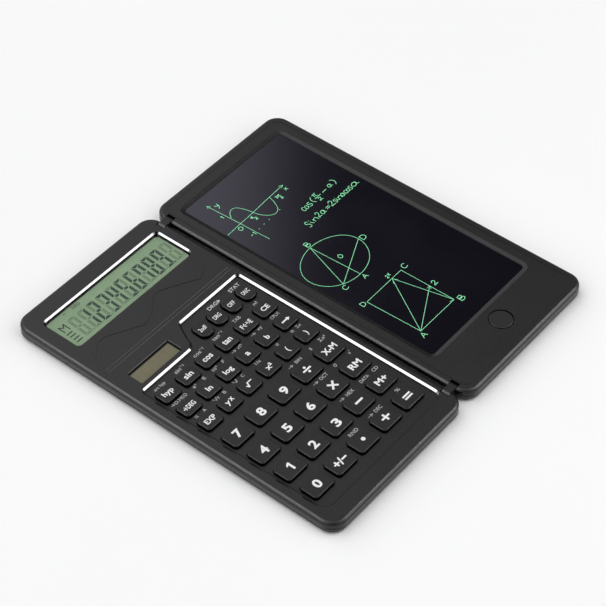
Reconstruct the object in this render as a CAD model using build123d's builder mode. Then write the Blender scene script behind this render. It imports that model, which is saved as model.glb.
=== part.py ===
from build123d import *
import os

# Folding scientific calculator with a writing tablet, opened flat.
# X runs across the fold (calculator half at -X, tablet half at +X), Y runs along the
# fold line towards the display, Z is up.  Z = 0 is the table.  All sizes in mm.

# ---- overall sizes -------------------------------------------------------------------
half_width = 84.0          # each half across the fold
half_length = 170.0        # each half along the fold
fold_gap = 1.0             # each half's hinge edge from the fold line
corner_r = 7.0             # plan corners
foot_h = 0.4               # feet below the shells
tray_h = 3.0               # lower shell height
cover_h = 3.0              # upper shell height
wall = 1.4                 # shell side walls
floor_t = 1.2              # shell floors
plate_t = 1.2              # upper shell plates
top_edge_r = 1.5           # rounding round the top
bottom_edge_r = 1.5        # rounding round the bottom
seam = 0.3                 # chamfers that form the parting groove

# ---- calculator face -----------------------------------------------------------------
recess_depth = 1.4         # keypad recess below the face
recess_bevel = 0.75        # 45 degree bevel round the mouth of the recess
recess_corner_r = 4.0      # recess corners at the lower end
recess_turn_r = 1.4        # the other corners of the recess
panel_t = 0.9              # keypad panel
key_clear = 0.50           # key to panel opening, each side
key_flange = 0.85          # key flange beyond the cap, each side
key_flange_t = 0.4
key_play = 0.10            # flange top below the panel at rest
key_travel = 0.7
key_edge_r = 0.35
key_drop = 0.05            # key tops below the face
small_key = (9.2, 7.0, 1.3)     # width, depth, corner radius
round_key = (7.0, 8.6, 2.6)
large_key = (11.8, 8.6, 1.5)
small_pitch_x = 12.08
small_pitch_y = 11.1
round_pitch_x = 9.05
large_pitch_x = 14.4
large_pitch_y = 13.35
key_margin = 12.7          # last small key centre from the fold line
round_margin = 10.65
large_margin = 14.15
round_row_y = 22.0
small_row_y = 9.7
large_row_y = -25.7
lens_len = 7.6
lens_w = 1.0
lens_depth = 0.6
groove_w = 0.3
groove_depth = 0.18
line_depth = 0.13          # the two straight lines, 45 degree sides
line_foot = 0.04

# ---- display and solar windows ---------------------------------------------------------
lcd_w = 69.7               # opening at the foot of the bevel
lcd_h = 20.15
lcd_x = -42.3
lcd_y = 65.08
lcd_r = 1.8
lcd_bevel = 0.7
lcd_ledge = 1.2            # window beyond the opening, under the plate
window_t = 0.68
fit_clear = 0.1            # pieces set in openings
solar_w = 24.2
solar_h = 7.8
solar_x = -63.9
solar_y = 25.2
solar_sink = 0.75          # cell face below the face of the cover
solar_bevel = 0.25

# ---- inside the calculator -------------------------------------------------------------
board_t = 0.7
board_lift = 0.2
sheet_t = 0.12
dome_h = 0.23
dome_r = 2.0
cell_r = 10.0
cell_t = 1.6
cell_x = -40.0
cell_y = 42.0
door_size = 25.0
boss_r = 2.4
screw_r = 0.8
head_r = 1.6
head_depth = 0.9
foot_r = 4.0
foot_sink = 0.4

# ---- tablet half -------------------------------------------------------------------------
screen_x0 = 10.0
screen_x1 = 75.6
screen_y0 = -60.2
screen_y1 = 75.0
screen_r = 2.0
screen_sink = 0.45         # film below the face
screen_slope = 1.9         # width of the sloping rim round the film
screen_lap = 1.5           # film under the frame, each side
film_t = 0.65
backing_t = 0.8
rim_line_inset = 3.4
erase_x = 43.9
erase_y = -70.3
erase_r = 5.0
erase_travel = 0.6
tablet_cell_x = 66.0
tablet_cell_y = -71.0
tablet_cell_t = 1.6

# ---- hinge: two links, each turning on one pin in each half -------------------------------
face_gap = 0.4             # between the faces when folded shut
pivot_x = 2.0              # pins either side of the fold line
link_y = 76.2
link_w = 3.6
link_side_clear = 0.3
link_end_clear = 0.35
pin_r = 0.6
pin_run_clear = 0.05
pin_in = 2.2               # pin in the shell, towards the middle
pin_out = 1.3              # pin in the shell, towards the corner
lug_half = 4.6             # lugs beside each link, either side of its middle

# ---- levels ---------------------------------------------------------------------------------
z_bottom = foot_h
z_floor = z_bottom + floor_t
z_seam = z_bottom + tray_h
z_face = z_seam + cover_h
z_plate = z_face - plate_t
z_panel = z_face - recess_depth
z_under_panel = z_panel - panel_t
z_board = z_floor + board_lift
z_sheet = z_board + board_t
z_dome = z_sheet + sheet_t + dome_h
z_flange = z_under_panel - key_play - key_flange_t
pivot_depth = pivot_x - face_gap / 2
z_pivot = z_face - pivot_depth
link_r = pivot_depth
edge_y = half_length / 2
outer_x = fold_gap + half_width
inner_r = corner_r - wall


key_names = [
    ["second", "drg", "off", "on"],
    ["hyp", "sin", "cos", "tan", "notation", "clear_entry"],
    ["degrees", "ln", "log", "a", "b", "backspace"],
    ["exponent", "power", "root", "square", "open_bracket", "close_bracket"],
    ["7", "8", "9", "divide", "store"],
    ["4", "5", "6", "multiply", "recall"],
    ["1", "2", "3", "minus", "memory_add"],
    ["0", "sign", "point", "plus", "equals"],
]


def key_rows():
    """Every key as (name, x, y, shape)."""
    rows = []
    for r, names in enumerate(key_names):
        last = len(names) - 1
        for i, name in enumerate(names):
            if r == 0:
                x = -round_margin - (last - i) * round_pitch_x
                rows.append((f"key_{name}", x, round_row_y, round_key))
            elif r < 4:
                x = -key_margin - (last - i) * small_pitch_x
                y = small_row_y - (r - 1) * small_pitch_y
                rows.append((f"key_{name}", x, y, small_key))
            else:
                x = -large_margin - (last - i) * large_pitch_x
                y = large_row_y - (r - 4) * large_pitch_y
                rows.append((f"key_{name}", x, y, large_key))
    return rows


keys = key_rows()
recess_points = [
    (-4.95, 31.4),
    (-41.6, 31.4),
    (-45.6, 23.6),
    (-46.6, 20.6),
    (-49.4, 18.25),
    (-outer_x + 6.0, 18.25),
    (-outer_x + 6.0, -edge_y + 9.0),
    (-4.95, -edge_y + 9.0),
]
zigzag_points = [
    (-5.5, 51.0),
    (-12.1, 43.9),
    (-16.6, 41.6),
    (-29.8, 48.7),
    (-33.2, 50.2),
    (-37.0, 50.0),
    (-45.1, 43.8),
    (-50.9, 41.7),
    (-62.2, 47.8),
    (-67.2, 50.2),
    (-71.0, 50.0),
    (-79.4, 43.6),
]
base_screws = [
    (-outer_x + 5.2, edge_y - 5.2),
    (-outer_x + 5.2, 36.4),
    (-outer_x + 5.2, -edge_y + 5.2),
    (-8.5, edge_y - 5.0),
    (-4.2, 33.8),
    (-8.5, -edge_y + 4.8),
]
tablet_screws = [
    (outer_x - 5.0, edge_y - 5.0),
    (outer_x - 4.4, 8.0),
    (outer_x - 5.0, -edge_y + 5.0),
    (8.5, edge_y - 5.0),
    (5.6, 8.0),
    (9.5, -edge_y + 6.0),
]


def block(x0, x1, y0, y1, z0, z1, r=0.0, mode=Mode.ADD):
    """An upright block with rounded plan corners, added to the open part."""
    with BuildSketch(Plane.XY.offset(z0)) as outline:
        with Locations(((x0 + x1) / 2, (y0 + y1) / 2)):
            if r > 0:
                RectangleRounded(x1 - x0, y1 - y0, r)
            else:
                Rectangle(x1 - x0, y1 - y0)
    extrude(outline.sketch, amount=z1 - z0, mode=mode)


def drum(x, y, z0, z1, r, mode=Mode.ADD):
    """An upright cylinder, added to the open part."""
    with BuildSketch(Plane.XY.offset(z0)) as outline:
        with Locations((x, y)):
            Circle(r)
    extrude(outline.sketch, amount=z1 - z0, mode=mode)


def tray(side, screws):
    """A lower shell: floor, side walls, screw bosses and hinge lugs."""
    x0, x1 = sorted((side * fold_gap, side * outer_x))
    with BuildPart() as shell:
        block(x0, x1, -edge_y, edge_y, z_bottom, z_seam, corner_r)
        fillet(shell.edges().group_by(Axis.Z)[0], bottom_edge_r)
        chamfer(shell.edges().group_by(Axis.Z)[-1], seam)
        block(x0 + wall, x1 - wall, -edge_y + wall, edge_y - wall, z_floor, z_seam + 1, inner_r, Mode.SUBTRACT)
        for x, y in screws:
            drum(x, y, z_floor - 0.1, z_seam, boss_r)
        for end in (-1, 1):
            lug_x = sorted((side * (fold_gap + wall - 0.3), side * 5.6))
            lug_y = sorted((end * (link_y - lug_half), end * (link_y + lug_half)))
            block(lug_x[0], lug_x[1], lug_y[0], lug_y[1], z_floor - 0.1, z_seam)
            link_slot(end)
        for x, y in screws:
            drum(x, y, z_bottom - 1, z_seam + 1, screw_r + 0.15, Mode.SUBTRACT)
            drum(x, y, z_bottom - 1, z_bottom + head_depth, head_r + 0.1, Mode.SUBTRACT)
    return shell


def link_slot(end):
    """Cuts the pocket that a hinge link lies in, across both halves."""
    reach = pivot_x + link_r + link_end_clear
    half_y = link_w / 2 + link_side_clear
    y = end * link_y
    block(-reach, reach, y - half_y, y + half_y, z_pivot - link_r - link_end_clear, z_face + 1, 0, Mode.SUBTRACT)


def cover(side, screws):
    """An upper shell before its openings: plate, side walls, bosses and pin lugs."""
    x0, x1 = sorted((side * fold_gap, side * outer_x))
    with BuildPart() as shell:
        block(x0, x1, -edge_y, edge_y, z_seam, z_face, corner_r)
        fillet(shell.edges().group_by(Axis.Z)[-1], top_edge_r)
        chamfer(shell.edges().group_by(Axis.Z)[0], seam)
        block(x0 + wall, x1 - wall, -edge_y + wall, edge_y - wall, z_seam - 1, z_plate, inner_r, Mode.SUBTRACT)
        for x, y in screws:
            drum(x, y, z_seam, z_plate + 0.1, boss_r)
        for end in (-1, 1):
            lug_x = sorted((side * (fold_gap + wall - 0.3), side * 5.6))
            lug_y = sorted((end * (link_y - lug_half), end * (link_y + lug_half)))
            block(lug_x[0], lug_x[1], lug_y[0], lug_y[1], z_seam, z_plate + 0.1)
            link_slot(end)
            pin_bore(side, end)
        for x, y in screws:
            drum(x, y, z_seam - 1, z_plate - 0.2, screw_r, Mode.SUBTRACT)
    return shell


def pin_bore(side, end):
    """The hole one hinge pin runs in, through both walls of the link slot."""
    near = end * (link_y - link_w / 2 - link_side_clear - pin_in)
    far = end * (link_y + link_w / 2 + link_side_clear + pin_out)
    y0, y1 = sorted((near, far))
    with BuildSketch(Plane.XZ.offset(-y0)) as circle:
        with Locations((side * pivot_x, z_pivot)):
            Circle(pin_r + pin_run_clear)
    extrude(circle.sketch, amount=-(y1 - y0), mode=Mode.SUBTRACT)


def recess_outline(z):
    """The keypad recess inside its bevel, at a level."""
    with BuildSketch(Plane.XY.offset(z)) as outline:
        with BuildLine():
            Polyline(*recess_points, close=True)
        make_face()
        fillet(outline.vertices().sort_by(Axis.Y)[:2], recess_corner_r)
        fillet(outline.vertices().filter_by(lambda v: v.Y > 0), recess_turn_r)
    return outline.sketch


os.makedirs("parts", exist_ok=True)

# ---- calculator lower shell ---------------------------------------------------------------
base_tray = tray(-1, base_screws)
with base_tray:
    # battery opening, with a shallow seat for the door's rim
    half = door_size / 2
    block(cell_x - half, cell_x + half, cell_y - half, cell_y + half, z_bottom - 1, z_floor + 1, 2, Mode.SUBTRACT)
    # sockets for the rubber feet
    for x in (-outer_x + 12, -12):
        for y in (-edge_y + 12, edge_y - 12):
            drum(x, y, z_bottom - 1, z_bottom + foot_sink, foot_r + 0.05, Mode.SUBTRACT)
    # pads that carry the circuit board
    for x in (-74, -42, -12):
        for y in (-62, -33, -6, 18):
            drum(x, y, z_floor - 0.1, z_board, 1.5)
base_tray.part.label = "base_tray"
export_step(base_tray.part, "parts/base_tray.step")

# ---- calculator upper shell ----------------------------------------------------------------
keypad_cover = cover(-1, base_screws)
with keypad_cover:
    # the plate is lower under the keypad
    with BuildSketch(Plane.XY.offset(z_under_panel)) as under:
        with BuildLine():
            Polyline(*recess_points, close=True)
        make_face()
        offset(amount=1.6, kind=Kind.INTERSECTION)
    extrude(under.sketch, amount=z_plate + 0.1 - z_under_panel)
    for end in (-1, 1):
        link_slot(end)
    extrude(recess_outline(z_panel), amount=recess_depth - recess_bevel + 0.01, mode=Mode.SUBTRACT)
    extrude(recess_outline(z_face - recess_bevel), amount=recess_bevel, taper=-45, mode=Mode.SUBTRACT)
    # key openings
    for name, x, y, shape in keys:
        w = shape[0] / 2 + key_clear
        h = shape[1] / 2 + key_clear
        block(x - w, x + w, y - h, y + h, z_under_panel - 1, z_panel + 1, shape[2] + key_clear, Mode.SUBTRACT)
    # display window: bevelled mouth, straight below
    with BuildSketch(Plane.XY.offset(z_face - lcd_bevel)) as mouth:
        with Locations((lcd_x, lcd_y)):
            RectangleRounded(lcd_w, lcd_h, lcd_r)
    extrude(mouth.sketch, amount=lcd_bevel, taper=-45, mode=Mode.SUBTRACT)
    extrude(mouth.sketch, amount=-2, mode=Mode.SUBTRACT)
    # solar window
    w = solar_w / 2
    h = solar_h / 2
    with BuildSketch(Plane.XY.offset(z_face - solar_bevel)) as solar_mouth:
        with Locations((solar_x, solar_y)):
            RectangleRounded(solar_w, solar_h, 0.4)
    extrude(solar_mouth.sketch, amount=solar_bevel, taper=-45, mode=Mode.SUBTRACT)
    block(solar_x - w, solar_x + w, solar_y - h, solar_y + h, z_seam, z_face + 1, 0.4, Mode.SUBTRACT)
    block(solar_x - w - 1, solar_x + w + 1, solar_y - h - 1, solar_y + h + 1, z_seam, z_plate, 0.4, Mode.SUBTRACT)
    # decorative lines
    for y in (37.2, 35.5):
        with BuildSketch(Plane.XY.offset(z_face - line_depth)) as line:
            with Locations(((-outer_x + 4.8 - 4.4) / 2, y)):
                Rectangle(outer_x - 4.8 - 4.4, line_foot)
        extrude(line.sketch, amount=line_depth, taper=-45, mode=Mode.SUBTRACT)
    with BuildSketch(Plane.XY.offset(z_face - groove_depth)) as zigzag:
        with BuildLine() as path:
            Polyline(*zigzag_points)
        trace(path.line, line_width=groove_w)
    extrude(zigzag.sketch, amount=1, mode=Mode.SUBTRACT)
    # lens-shaped dents beside rows 2 to 8
    rows_y = [small_row_y - i * small_pitch_y for i in range(3)]
    rows_y += [large_row_y - i * large_pitch_y for i in range(4)]
    for y in rows_y:
        with BuildSketch(Plane.XY.offset(z_face - lens_depth)) as lens:
            with BuildLine():
                x = -outer_x + 4.7
                yc = y - 2.8
                ThreePointArc((x, yc - lens_len / 2), (x + lens_w / 2, yc), (x, yc + lens_len / 2))
                ThreePointArc((x, yc + lens_len / 2), (x - lens_w / 2, yc), (x, yc - lens_len / 2))
            make_face()
        extrude(lens.sketch, amount=1, mode=Mode.SUBTRACT)
keypad_cover.part.label = "keypad_cover"
export_step(keypad_cover.part, "parts/keypad_cover.step")

# ---- keys ------------------------------------------------------------------------------------
for name, x, y, shape in keys:
    w = shape[0] / 2
    h = shape[1] / 2
    with BuildPart() as key:
        block(x - w, x + w, y - h, y + h, z_flange, z_face - key_drop, shape[2])
        fillet(key.edges().group_by(Axis.Z)[-1], key_edge_r)
        g = key_flange
        block(x - w - g, x + w + g, y - h - g, y + h + g, z_flange, z_flange + key_flange_t, shape[2] + g)
    key.part.label = name
    export_step(key.part, f"parts/{name}.step")

# ---- display window ----------------------------------------------------------------------------
with BuildPart() as lcd_window:
    w = lcd_w / 2 + lcd_ledge
    h = lcd_h / 2 + lcd_ledge
    block(lcd_x - w, lcd_x + w, lcd_y - h, lcd_y + h, z_plate - 0.02 - window_t, z_plate - 0.02, 1.1)
lcd_window.part.label = "lcd_window"
export_step(lcd_window.part, "parts/lcd_window.step")

# ---- display module ------------------------------------------------------------------------------
with BuildPart() as lcd_module:
    w = lcd_w / 2 + 0.9
    h = lcd_h / 2 + 0.9
    z_lcd = z_plate - window_t - 0.05
    block(lcd_x - w, lcd_x + w, lcd_y - h, lcd_y + h, z_lcd - 1.1, z_lcd, 0.6)
    for y in (lcd_y - h + 1.0, lcd_y + h - 1.0):
        block(lcd_x - w + 3, lcd_x + w - 3, y - 0.8, y + 0.8, z_sheet + 0.01, z_lcd - 1.05)
lcd_module.part.label = "lcd_module"
export_step(lcd_module.part, "parts/lcd_module.step")

# ---- solar cell --------------------------------------------------------------------------------------
with BuildPart() as solar_cell:
    w = solar_w / 2 + 0.8
    h = solar_h / 2 + 0.8
    block(solar_x - w, solar_x + w, solar_y - h, solar_y + h, z_plate - 0.8, z_plate - 0.02, 0.3)
    w = solar_w / 2 - fit_clear
    h = solar_h / 2 - fit_clear
    block(solar_x - w, solar_x + w, solar_y - h, solar_y + h, z_plate - 0.1, z_face - solar_sink, 0.3)
solar_cell.part.label = "solar_cell"
export_step(solar_cell.part, "parts/solar_cell.step")

# ---- circuit board -------------------------------------------------------------------------------------
with BuildPart() as main_board:
    gap = 0.4
    x0 = -outer_x + wall + gap
    x1 = -fold_gap - wall - gap
    y0 = -edge_y + wall + gap
    y1 = edge_y - wall - gap
    block(x0, x1, y0, y1, z_board, z_sheet, inner_r - gap)
    half = door_size / 2 + 0.5
    block(cell_x - half, cell_x + half, cell_y - half, cell_y + half, z_board - 1, z_sheet + 1, 1, Mode.SUBTRACT)
    for x, y in base_screws:
        drum(x, y, z_board - 1, z_sheet + 1, boss_r + gap, Mode.SUBTRACT)
    for end in (-1, 1):
        y0, y1 = sorted((end * (link_y - 5.2), end * edge_y))
        block(-6.2, 0, y0, y1, z_board - 1, z_sheet + 1, 0, Mode.SUBTRACT)
main_board.part.label = "main_board"
export_step(main_board.part, "parts/main_board.step")

# ---- contact sheet with one dome under each key ----------------------------------------------------------
with BuildPart() as dome_sheet:
    block(-outer_x + 5.4, -7.4, -edge_y + 9.5, 28.5, z_sheet, z_sheet + sheet_t, 1.0)
    for name, x, y, shape in keys:
        drum(x, y, z_sheet, z_dome, dome_r)
dome_sheet.part.label = "dome_sheet"
export_step(dome_sheet.part, "parts/dome_sheet.step")

# ---- coin cell and battery door ------------------------------------------------------------------------------
with BuildPart() as base_cell:
    drum(cell_x, cell_y, z_floor + 0.05, z_floor + 0.05 + cell_t, cell_r)
    chamfer(base_cell.edges(), 0.2)
    drum(cell_x, cell_y, z_floor + 0.05, z_floor + 0.25 + cell_t, cell_r - 1.6)
base_cell.part.label = "base_cell"
export_step(base_cell.part, "parts/base_cell.step")

with BuildPart() as base_battery_door:
    half = door_size / 2 - 0.15
    block(cell_x - half, cell_x + half, cell_y - half, cell_y + half, z_bottom, z_floor, 1.85)
    # coin slot and finger ridges
    block(cell_x - 4, cell_x + 4, cell_y - 0.8, cell_y + 0.8, z_bottom - 1, z_bottom + 0.5, 0.7, Mode.SUBTRACT)
    for i in range(3):
        y = cell_y + 6 + i * 1.6
        block(cell_x - 4, cell_x + 4, y - 0.3, y + 0.3, z_bottom - 1, z_bottom + 0.25, 0, Mode.SUBTRACT)
base_battery_door.part.label = "base_battery_door"
export_step(base_battery_door.part, "parts/base_battery_door.step")

# ---- rubber feet -------------------------------------------------------------------------------------------------
with BuildPart() as base_feet:
    for x in (-outer_x + 12, -12):
        for y in (-edge_y + 12, edge_y - 12):
            drum(x, y, 0, z_bottom + foot_sink - 0.01, foot_r)
base_feet.part.label = "base_feet"
export_step(base_feet.part, "parts/base_feet.step")

# ---- tablet back shell ----------------------------------------------------------------------------------------------
tablet_tray = tray(1, tablet_screws)
with tablet_tray:
    for x in (outer_x - 12, 12):
        for y in (-edge_y + 12, edge_y - 12):
            drum(x, y, 0, z_bottom + 0.1, foot_r)
    # ribs under the backing board
    for x in (27, 43, 59):
        block(x - 0.6, x + 0.6, screen_y0 + 8, screen_y1 - 8, z_floor - 0.1, z_face - screen_sink - film_t - backing_t - 0.07)
    # posts under the button board
    for x in (erase_x - 13, erase_x + 5):
        drum(x, erase_y, z_floor - 0.1, z_board, 1.5)
tablet_tray.part.label = "tablet_tray"
export_step(tablet_tray.part, "parts/tablet_tray.step")

# ---- tablet front frame -----------------------------------------------------------------------------------------------
z_film = z_face - screen_sink
tablet_bezel = cover(1, tablet_screws)
with tablet_bezel:
    lap = screen_lap
    # seat for the film, open below
    block(
        screen_x0 - lap, screen_x1 + lap, screen_y0 - lap, screen_y1 + lap, z_seam - 1, z_film, 1.0, Mode.SUBTRACT
    )
    block(screen_x0, screen_x1, screen_y0, screen_y1, z_seam, z_film + 0.02, screen_r, Mode.SUBTRACT)
    slope = []
    for z, grow in ((z_film, 0), (z_face, screen_slope)):
        with BuildSketch(Plane.XY.offset(z)) as ring:
            with Locations(((screen_x0 + screen_x1) / 2, (screen_y0 + screen_y1) / 2)):
                w = screen_x1 - screen_x0 + 2 * grow
                h = screen_y1 - screen_y0 + 2 * grow
                RectangleRounded(w, h, screen_r + grow)
        slope.append(ring.sketch)
    loft(slope, mode=Mode.SUBTRACT)
    drum(erase_x, erase_y, z_seam, z_face + 1, erase_r + key_clear, Mode.SUBTRACT)
    # fine line round the rim
    with BuildSketch(Plane.XY.offset(z_face - 0.15)) as rim_line:
        with Locations(((fold_gap + outer_x) / 2, 0)):
            w = half_width - 2 * rim_line_inset
            h = half_length - 2 * rim_line_inset
            RectangleRounded(w, h, corner_r - rim_line_inset + 0.6)
            RectangleRounded(w - 0.5, h - 0.5, corner_r - rim_line_inset + 0.35, mode=Mode.SUBTRACT)
    extrude(rim_line.sketch, amount=1, mode=Mode.SUBTRACT)
tablet_bezel.part.label = "tablet_bezel"
export_step(tablet_bezel.part, "parts/tablet_bezel.step")

# ---- writing film on its backing board ------------------------------------------------------------------------------------
with BuildPart() as writing_film:
    lap = screen_lap - 0.2
    x0 = screen_x0 - lap
    x1 = screen_x1 + lap
    y0 = screen_y0 - lap
    y1 = screen_y1 + lap
    block(x0, x1, y0, y1, z_film - film_t, z_film - 0.02, 0.8)
    block(x0 + 0.6, x1 - 0.6, y0 + 0.6, y1 - 0.6, z_film - film_t - backing_t, z_film - film_t + 0.01, 0.8)
writing_film.part.label = "writing_film"
export_step(writing_film.part, "parts/writing_film.step")

# ---- erase button -------------------------------------------------------------------------------------------------------------
with BuildPart() as erase_button:
    z_erase = z_plate - key_play - 0.5
    drum(erase_x, erase_y, z_erase, z_face, erase_r)
    fillet(erase_button.edges().group_by(Axis.Z)[-1], 0.25)
    drum(erase_x, erase_y, z_erase, z_erase + 0.5, erase_r + 0.8)
erase_button.part.label = "erase_button"
export_step(erase_button.part, "parts/erase_button.step")

# ---- button board with its switch -----------------------------------------------------------------------------------------------
with BuildPart() as tablet_board:
    block(erase_x - 18, erase_x + 10.5, erase_y - 8, erase_y + 8, z_board, z_sheet, 1.0)
    block(erase_x - 3, erase_x + 3, erase_y - 3, erase_y + 3, z_sheet - 0.01, z_sheet + 0.6)
    drum(erase_x, erase_y, z_sheet + 0.59, z_sheet + 1.1, 1.5)
    block(erase_x - 15, erase_x - 9, erase_y - 3, erase_y + 3, z_sheet - 0.01, z_sheet + 0.7)
tablet_board.part.label = "tablet_board"
export_step(tablet_board.part, "parts/tablet_board.step")

# ---- tablet coin cell ------------------------------------------------------------------------------------------------------------
with BuildPart() as tablet_cell:
    drum(tablet_cell_x, tablet_cell_y, z_floor + 0.02, z_floor + 0.02 + tablet_cell_t, cell_r)
    chamfer(tablet_cell.edges(), 0.2)
tablet_cell.part.label = "tablet_cell"
export_step(tablet_cell.part, "parts/tablet_cell.step")

# ---- hinge links and pins -----------------------------------------------------------------------------------------------------------
with BuildPart() as hinge_links:
    for end in (-1, 1):
        y = end * link_y
        with BuildSketch(Plane.XZ.offset(-y + link_w / 2)) as side_view:
            with Locations((0, z_pivot)):
                SlotOverall(2 * (pivot_x + link_r), 2 * link_r)
            with Locations((-pivot_x, z_pivot), (pivot_x, z_pivot)):
                Circle(pin_r, mode=Mode.SUBTRACT)
        extrude(side_view.sketch, amount=-link_w)
hinge_links.part.label = "hinge_links"
export_step(hinge_links.part, "parts/hinge_links.step")

with BuildPart() as hinge_pins:
    for end in (-1, 1):
        near = end * (link_y - link_w / 2 - link_side_clear - pin_in + 0.1)
        far = end * (link_y + link_w / 2 + link_side_clear + pin_out - 0.1)
        y0, y1 = sorted((near, far))
        for side in (-1, 1):
            with BuildSketch(Plane.XZ.offset(-y0)) as circle:
                with Locations((side * pivot_x, z_pivot)):
                    Circle(pin_r)
            extrude(circle.sketch, amount=-(y1 - y0))
hinge_pins.part.label = "hinge_pins"
export_step(hinge_pins.part, "parts/hinge_pins.step")
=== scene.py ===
import math

import bmesh
import bpy
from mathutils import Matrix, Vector


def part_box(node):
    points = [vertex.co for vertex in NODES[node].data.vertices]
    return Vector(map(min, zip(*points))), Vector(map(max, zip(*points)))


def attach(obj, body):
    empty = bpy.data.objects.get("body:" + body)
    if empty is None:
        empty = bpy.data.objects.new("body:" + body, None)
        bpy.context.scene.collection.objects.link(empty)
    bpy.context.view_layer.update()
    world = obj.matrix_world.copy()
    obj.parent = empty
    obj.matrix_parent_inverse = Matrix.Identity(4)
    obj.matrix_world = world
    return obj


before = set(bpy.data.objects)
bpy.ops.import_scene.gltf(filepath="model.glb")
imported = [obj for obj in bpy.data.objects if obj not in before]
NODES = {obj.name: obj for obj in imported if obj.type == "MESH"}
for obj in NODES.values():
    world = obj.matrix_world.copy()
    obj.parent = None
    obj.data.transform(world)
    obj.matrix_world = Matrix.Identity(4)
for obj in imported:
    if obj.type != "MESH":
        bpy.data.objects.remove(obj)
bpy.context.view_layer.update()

MM = 0.001

RECESS_DEPTH = 1.4
FILM_SINK = 0.47

# Levels of the surfaces that the printing and the writing sit on, in millimetres.
FACE_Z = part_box("keypad_cover")[1].z / MM
KEY_TOP_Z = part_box("key_5")[1].z / MM
PANEL_Z = FACE_Z - RECESS_DEPTH
FILM_Z = FACE_Z - FILM_SINK
LCD_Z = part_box("lcd_module")[1].z / MM
SOLAR_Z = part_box("solar_cell")[1].z / MM
# Thickness of printed ink, in millimetres.
INK = 0.012


# ---------------------------------------------------------------- shader groups


def new_group(name, inputs, outputs):
    """An empty shader group; inputs are (name, kind, default) and outputs are (name, kind)."""
    group = bpy.data.node_groups.new(name, "ShaderNodeTree")
    kinds = {"value": "NodeSocketFloat", "colour": "NodeSocketColor", "vector": "NodeSocketVector"}
    for label, kind, default in inputs:
        socket = group.interface.new_socket(name=label, in_out="INPUT", socket_type=kinds[kind])
        if default is not None:
            socket.default_value = default
    for label, kind in outputs:
        group.interface.new_socket(name=label, in_out="OUTPUT", socket_type=kinds[kind])
    tree = Tree(group)
    tree.entry = group.nodes.new("NodeGroupInput")
    tree.exit = group.nodes.new("NodeGroupOutput")
    return tree


class Tree:
    """Short ways to add and join shader nodes."""

    def __init__(self, tree):
        self.tree = tree

    def add(self, kind, values=None, **settings):
        node = self.tree.nodes.new(kind)
        for key, value in settings.items():
            setattr(node, key, value)
        for key, value in (values or {}).items():
            self.feed(node.inputs[key], value)
        return node

    def feed(self, socket, value):
        if isinstance(value, bpy.types.NodeSocket):
            self.tree.links.new(value, socket)
        else:
            socket.default_value = value

    def math(self, operation, a, b=0.0):
        node = self.tree.nodes.new("ShaderNodeMath")
        node.operation = operation
        for index, value in enumerate((a, b)):
            self.feed(node.inputs[index], value)
        return node.outputs[0]

    def remap(self, value, low, high, to_low, to_high, smooth=False):
        node = self.add(
            "ShaderNodeMapRange",
            {
                "Value": value,
                "From Min": low,
                "From Max": high,
                "To Min": to_low,
                "To Max": to_high,
            },
        )
        if smooth:
            node.interpolation_type = "SMOOTHSTEP"
        return node.outputs["Result"]

    def mix(self, factor, a, b):
        node = self.tree.nodes.new("ShaderNodeMix")
        node.data_type = "RGBA"
        self.feed(node.inputs["Factor"], factor)
        self.feed(node.inputs["A"], a)
        self.feed(node.inputs["B"], b)
        return node.outputs["Result"]

    def noise(self, scale, detail=2.0, roughness=0.5, vector=None):
        if vector is None:
            vector = self.add("ShaderNodeTexCoord").outputs["Object"]
        node = self.add(
            "ShaderNodeTexNoise",
            {"Vector": vector, "Scale": scale, "Detail": detail, "Roughness": roughness},
        )
        return node.outputs["Fac"]

    def use(self, group, **values):
        node = self.tree.nodes.new("ShaderNodeGroup")
        node.node_tree = group
        for key, value in values.items():
            self.feed(node.inputs[key.replace("_", " ")], value)
        return node.outputs

    def relief(self, height, strength, depth):
        """Raises the surface by a height, through the shader's Normal; depth is in metres."""
        bump = self.add(
            "ShaderNodeBump", {"Height": height, "Strength": strength, "Distance": depth}
        )
        self.feed(self.shader.inputs["Normal"], bump.outputs["Normal"])


def make_moulded_grain():
    """Fine spark-eroded texture of moulded plastic."""
    t = new_group(
        "moulded_grain",
        [("Scale", "value", 2600.0), ("Depth", "value", 1.0)],
        [("Height", "value"), ("Fleck", "value")],
    )
    where = t.add("ShaderNodeTexCoord").outputs["Object"]
    scale = t.entry.outputs["Scale"]
    fine = t.noise(scale, 3.0, 0.6, where)
    cells = t.add("ShaderNodeTexVoronoi", {"Vector": where, "Scale": scale}, feature="F1")
    pits = t.remap(cells.outputs["Distance"], 0.0, 0.8, 1.0, 0.0)
    height = t.math("ADD", t.math("MULTIPLY", fine, 0.65), t.math("MULTIPLY", pits, 0.35))
    t.feed(t.exit.inputs["Height"], t.math("MULTIPLY", height, t.entry.outputs["Depth"]))
    t.feed(t.exit.inputs["Fleck"], t.remap(fine, 0.35, 0.68, 0.0, 1.0))
    return t.tree


def make_tone_drift():
    """Slow, faint shift of a colour over a surface."""
    t = new_group(
        "tone_drift",
        [("Color", "colour", None), ("Other", "colour", None), ("Scale", "value", 40.0)],
        [("Color", "colour"), ("Mask", "value")],
    )
    cloud = t.noise(t.entry.outputs["Scale"], 3.0, 0.55)
    mask = t.remap(cloud, 0.35, 0.65, 0.0, 1.0, smooth=True)
    t.feed(
        t.exit.inputs["Color"],
        t.mix(mask, t.entry.outputs["Color"], t.entry.outputs["Other"]),
    )
    t.feed(t.exit.inputs["Mask"], mask)
    return t.tree


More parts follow.
